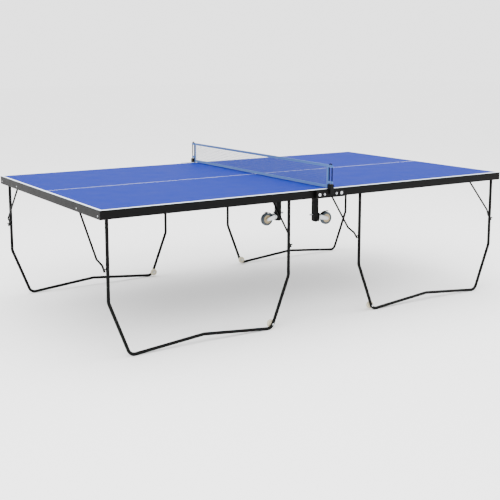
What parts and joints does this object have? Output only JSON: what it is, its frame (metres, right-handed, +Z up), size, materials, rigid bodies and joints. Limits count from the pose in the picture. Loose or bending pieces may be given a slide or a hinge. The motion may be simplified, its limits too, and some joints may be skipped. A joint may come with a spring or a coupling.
{
  "type": "table tennis table",
  "caption": "folding table tennis table: two framed boards on bent tube legs with braces, hinged to a centre frame with casters and a net",
  "frame": {"origin": "on the floor, under the middle of the net", "axes": "+X along the table, +Y across it, +Z up"},
  "size_m": [2.74, 1.5904, 0.903],
  "materials": {
    "board": "blue matt lacquer on fibreboard, with white painted lines",
    "black_steel": "black powder coat",
    "zinc": "bright zinc plate",
    "nylon": "moulded pale nylon",
    "black_plastic": "moulded black plastic",
    "net_cloth": "blue knitted nylon net with woven tape edges"
  },
  "bodies": {
    "carriage": {"left_near_wheel_post": "black_steel", "left_far_wheel_post": "black_steel", "right_near_wheel_post": "black_steel", "right_far_wheel_post": "black_steel", "left_hinge_shaft": "zinc", "right_hinge_shaft": "zinc", "near_side_bracket": "black_steel", "near_net_clamp": "black_plastic", "near_net_post": "black_steel", "far_side_bracket": "black_steel", "far_net_clamp": "black_plastic", "far_net_post": "black_steel", "net_top_tape": "net_cloth", "net_bottom_tape": "net_cloth", "net": "net_cloth"},
    "left_half": {"left_board": "board", "left_end_rail": "black_steel", "left_cross_rail": "black_steel", "left_near_side_rail": "black_steel", "left_far_side_rail": "black_steel"},
    "left_near_leg": {"left_near_leg_frame": "black_steel"},
    "left_near_roller": {"left_near_foot_roller": "nylon"},
    "left_near_outer_brace_arm": {"left_near_outer_brace": "black_steel"},
    "left_near_inner_brace_arm": {"left_near_inner_brace": "black_steel"},
    "left_near_caster_arm": {"left_near_caster_bracket": "black_steel"},
    "left_near_fork": {"left_near_caster_fork": "zinc"},
    "left_near_wheel": {"left_near_caster_wheel": "nylon"},
    "left_near_plunger": {"left_near_pull_pin": "zinc"},
    "left_far_leg": {"left_far_leg_frame": "black_steel"},
    "left_far_roller": {"left_far_foot_roller": "nylon"},
    "left_far_outer_brace_arm": {"left_far_outer_brace": "black_steel"},
    "left_far_inner_brace_arm": {"left_far_inner_brace": "black_steel"},
    "left_far_caster_arm": {"left_far_caster_bracket": "black_steel"},
    "left_far_fork": {"left_far_caster_fork": "zinc"},
    "left_far_wheel": {"left_far_caster_wheel": "nylon"},
    "left_far_plunger": {"left_far_pull_pin": "zinc"},
    "right_half": {"right_board": "board", "right_end_rail": "black_steel", "right_cross_rail": "black_steel", "right_near_side_rail": "black_steel", "right_far_side_rail": "black_steel"},
    "right_near_leg": {"right_near_leg_frame": "black_steel"},
    "right_near_roller": {"right_near_foot_roller": "nylon"},
    "right_near_outer_brace_arm": {"right_near_outer_brace": "black_steel"},
    "right_near_inner_brace_arm": {"right_near_inner_brace": "black_steel"},
    "right_near_caster_arm": {"right_near_caster_bracket": "black_steel"},
    "right_near_fork": {"right_near_caster_fork": "zinc"},
    "right_near_wheel": {"right_near_caster_wheel": "nylon"},
    "right_near_plunger": {"right_near_pull_pin": "zinc"},
    "right_far_leg": {"right_far_leg_frame": "black_steel"},
    "right_far_roller": {"right_far_foot_roller": "nylon"},
    "right_far_outer_brace_arm": {"right_far_outer_brace": "black_steel"},
    "right_far_inner_brace_arm": {"right_far_inner_brace": "black_steel"},
    "right_far_caster_arm": {"right_far_caster_bracket": "black_steel"},
    "right_far_fork": {"right_far_caster_fork": "zinc"},
    "right_far_wheel": {"right_far_caster_wheel": "nylon"},
    "right_far_plunger": {"right_far_pull_pin": "zinc"}
  },
  "joints": [
    {"name": "left_fold", "type": "hinge", "parent": "carriage", "child": "left_half", "pos_m": [-0.076, 0, 0.733], "axis": [0, 1, 0], "range_deg": [0, 90]},
    {"name": "left_near_leg_fold", "type": "hinge", "parent": "left_half", "child": "left_near_leg", "pos_m": [-0.7871, -0.734, 0.729], "axis": [1, 0, 0], "range_deg": [0, 88]},
    {"name": "left_near_roller_spin", "type": "hinge", "parent": "left_near_leg", "child": "left_near_roller", "pos_m": [-0.355, -0.7167, 0.03], "axis": [0, 1, 0], "continuous": true},
    {"name": "left_near_outer_brace_fold", "type": "hinge", "parent": "left_half", "child": "left_near_outer_brace_arm", "pos_m": [-1.3585, -0.4645, 0.7295], "axis": [1, 0, 0], "range_deg": [0, 130]},
    {"name": "left_near_inner_brace_fold", "type": "hinge", "parent": "left_half", "child": "left_near_inner_brace_arm", "pos_m": [-0.2066, -0.4645, 0.7295], "axis": [1, 0, 0], "range_deg": [0, 130]},
    {"name": "left_near_caster_swing", "type": "hinge", "parent": "carriage", "child": "left_near_caster_arm", "pos_m": [-0.081, -0.382, 0.5445], "axis": [0, -1, 0], "range_deg": [0, 90]},
    {"name": "left_near_swivel", "type": "hinge", "parent": "left_near_caster_arm", "child": "left_near_fork", "pos_m": [-0.1006, -0.382, 0.5575], "axis": [-1, 0, 0], "continuous": true},
    {"name": "left_near_wheel_spin", "type": "hinge", "parent": "left_near_fork", "child": "left_near_wheel", "pos_m": [-0.16, -0.382, 0.5445], "axis": [0, 1, 0], "continuous": true},
    {"name": "left_near_pin_pull", "type": "slide", "parent": "carriage", "child": "left_near_plunger", "axis": [1, 0, 0], "range_m": [0, 0.008], "stiffness_N_per_m": 300, "springref_m": -0.002},
    {"name": "left_far_leg_fold", "type": "hinge", "parent": "left_half", "child": "left_far_leg", "pos_m": [-0.7871, 0.734, 0.729], "axis": [-1, 0, 0], "range_deg": [0, 88]},
    {"name": "left_far_roller_spin", "type": "hinge", "parent": "left_far_leg", "child": "left_far_roller", "pos_m": [-0.355, 0.7167, 0.03], "axis": [0, 1, 0], "continuous": true},
    {"name": "left_far_outer_brace_fold", "type": "hinge", "parent": "left_half", "child": "left_far_outer_brace_arm", "pos_m": [-1.3585, 0.4645, 0.7295], "axis": [-1, 0, 0], "range_deg": [0, 130]},
    {"name": "left_far_inner_brace_fold", "type": "hinge", "parent": "left_half", "child": "left_far_inner_brace_arm", "pos_m": [-0.2066, 0.4645, 0.7295], "axis": [-1, 0, 0], "range_deg": [0, 130]},
    {"name": "left_far_caster_swing", "type": "hinge", "parent": "carriage", "child": "left_far_caster_arm", "pos_m": [-0.081, 0.53, 0.5445], "axis": [0, -1, 0], "range_deg": [0, 90]},
    {"name": "left_far_swivel", "type": "hinge", "parent": "left_far_caster_arm", "child": "left_far_fork", "pos_m": [-0.1006, 0.53, 0.5575], "axis": [-1, 0, 0], "continuous": true},
    {"name": "left_far_wheel_spin", "type": "hinge", "parent": "left_far_fork", "child": "left_far_wheel", "pos_m": [-0.16, 0.53, 0.5445], "axis": [0, 1, 0], "continuous": true},
    {"name": "left_far_pin_pull", "type": "slide", "parent": "carriage", "child": "left_far_plunger", "axis": [1, 0, 0], "range_m": [0, 0.008], "stiffness_N_per_m": 300, "springref_m": -0.002},
    {"name": "right_fold", "type": "hinge", "parent": "carriage", "child": "right_half", "pos_m": [0.076, 0, 0.733], "axis": [0, -1, 0], "range_deg": [0, 90]},
    {"name": "right_near_leg_fold", "type": "hinge", "parent": "right_half", "child": "right_near_leg", "pos_m": [0.7871, -0.734, 0.729], "axis": [1, 0, 0], "range_deg": [0, 88]},
    {"name": "right_near_roller_spin", "type": "hinge", "parent": "right_near_leg", "child": "right_near_roller", "pos_m": [0.355, -0.7167, 0.03], "axis": [0, 1, 0], "continuous": true},
    {"name": "right_near_outer_brace_fold", "type": "hinge", "parent": "right_half", "child": "right_near_outer_brace_arm", "pos_m": [1.3585, -0.4645, 0.7295], "axis": [1, 0, 0], "range_deg": [0, 130]},
    {"name": "right_near_inner_brace_fold", "type": "hinge", "parent": "right_half", "child": "right_near_inner_brace_arm", "pos_m": [0.2066, -0.4645, 0.7295], "axis": [1, 0, 0], "range_deg": [0, 130]},
    {"name": "right_near_caster_swing", "type": "hinge", "parent": "carriage", "child": "right_near_caster_arm", "pos_m": [0.081, -0.53, 0.5445], "axis": [0, 1, 0], "range_deg": [0, 90]},
    {"name": "right_near_swivel", "type": "hinge", "parent": "right_near_caster_arm", "child": "right_near_fork", "pos_m": [0.1006, -0.53, 0.5575], "axis": [1, 0, 0], "continuous": true},
    {"name": "right_near_wheel_spin", "type": "hinge", "parent": "right_near_fork", "child": "right_near_wheel", "pos_m": [0.16, -0.53, 0.5445], "axis": [0, 1, 0], "continuous": true},
    {"name": "right_near_pin_pull", "type": "slide", "parent": "carriage", "child": "right_near_plunger", "axis": [-1, 0, 0], "range_m": [0, 0.008], "stiffness_N_per_m": 300, "springref_m": -0.002},
    {"name": "right_far_leg_fold", "type": "hinge", "parent": "right_half", "child": "right_far_leg", "pos_m": [0.7871, 0.734, 0.729], "axis": [-1, 0, 0], "range_deg": [0, 88]},
    {"name": "right_far_roller_spin", "type": "hinge", "parent": "right_far_leg", "child": "right_far_roller", "pos_m": [0.355, 0.7167, 0.03], "axis": [0, 1, 0], "continuous": true},
    {"name": "right_far_outer_brace_fold", "type": "hinge", "parent": "right_half", "child": "right_far_outer_brace_arm", "pos_m": [1.3585, 0.4645, 0.7295], "axis": [-1, 0, 0], "range_deg": [0, 130]},
    {"name": "right_far_inner_brace_fold", "type": "hinge", "parent": "right_half", "child": "right_far_inner_brace_arm", "pos_m": [0.2066, 0.4645, 0.7295], "axis": [-1, 0, 0], "range_deg": [0, 130]},
    {"name": "right_far_caster_swing", "type": "hinge", "parent": "carriage", "child": "right_far_caster_arm", "pos_m": [0.081, 0.382, 0.5445], "axis": [0, 1, 0], "range_deg": [0, 90]},
    {"name": "right_far_swivel", "type": "hinge", "parent": "right_far_caster_arm", "child": "right_far_fork", "pos_m": [0.1006, 0.382, 0.5575], "axis": [1, 0, 0], "continuous": true},
    {"name": "right_far_wheel_spin", "type": "hinge", "parent": "right_far_fork", "child": "right_far_wheel", "pos_m": [0.16, 0.382, 0.5445], "axis": [0, 1, 0], "continuous": true},
    {"name": "right_far_pin_pull", "type": "slide", "parent": "carriage", "child": "right_far_plunger", "axis": [-1, 0, 0], "range_m": [0, 0.008], "stiffness_N_per_m": 300, "springref_m": -0.002}
  ],
  "couplings": [
    {"joint": "left_near_outer_brace_fold", "follows": "left_near_leg_fold", "ratio": 1.4773},
    {"joint": "left_near_inner_brace_fold", "follows": "left_near_leg_fold", "ratio": 1.4773},
    {"joint": "left_far_outer_brace_fold", "follows": "left_far_leg_fold", "ratio": 1.4773},
    {"joint": "left_far_inner_brace_fold", "follows": "left_far_leg_fold", "ratio": 1.4773},
    {"joint": "right_near_outer_brace_fold", "follows": "right_near_leg_fold", "ratio": 1.4773},
    {"joint": "right_near_inner_brace_fold", "follows": "right_near_leg_fold", "ratio": 1.4773},
    {"joint": "right_far_outer_brace_fold", "follows": "right_far_leg_fold", "ratio": 1.4773},
    {"joint": "right_far_inner_brace_fold", "follows": "right_far_leg_fold", "ratio": 1.4773}
  ]
}
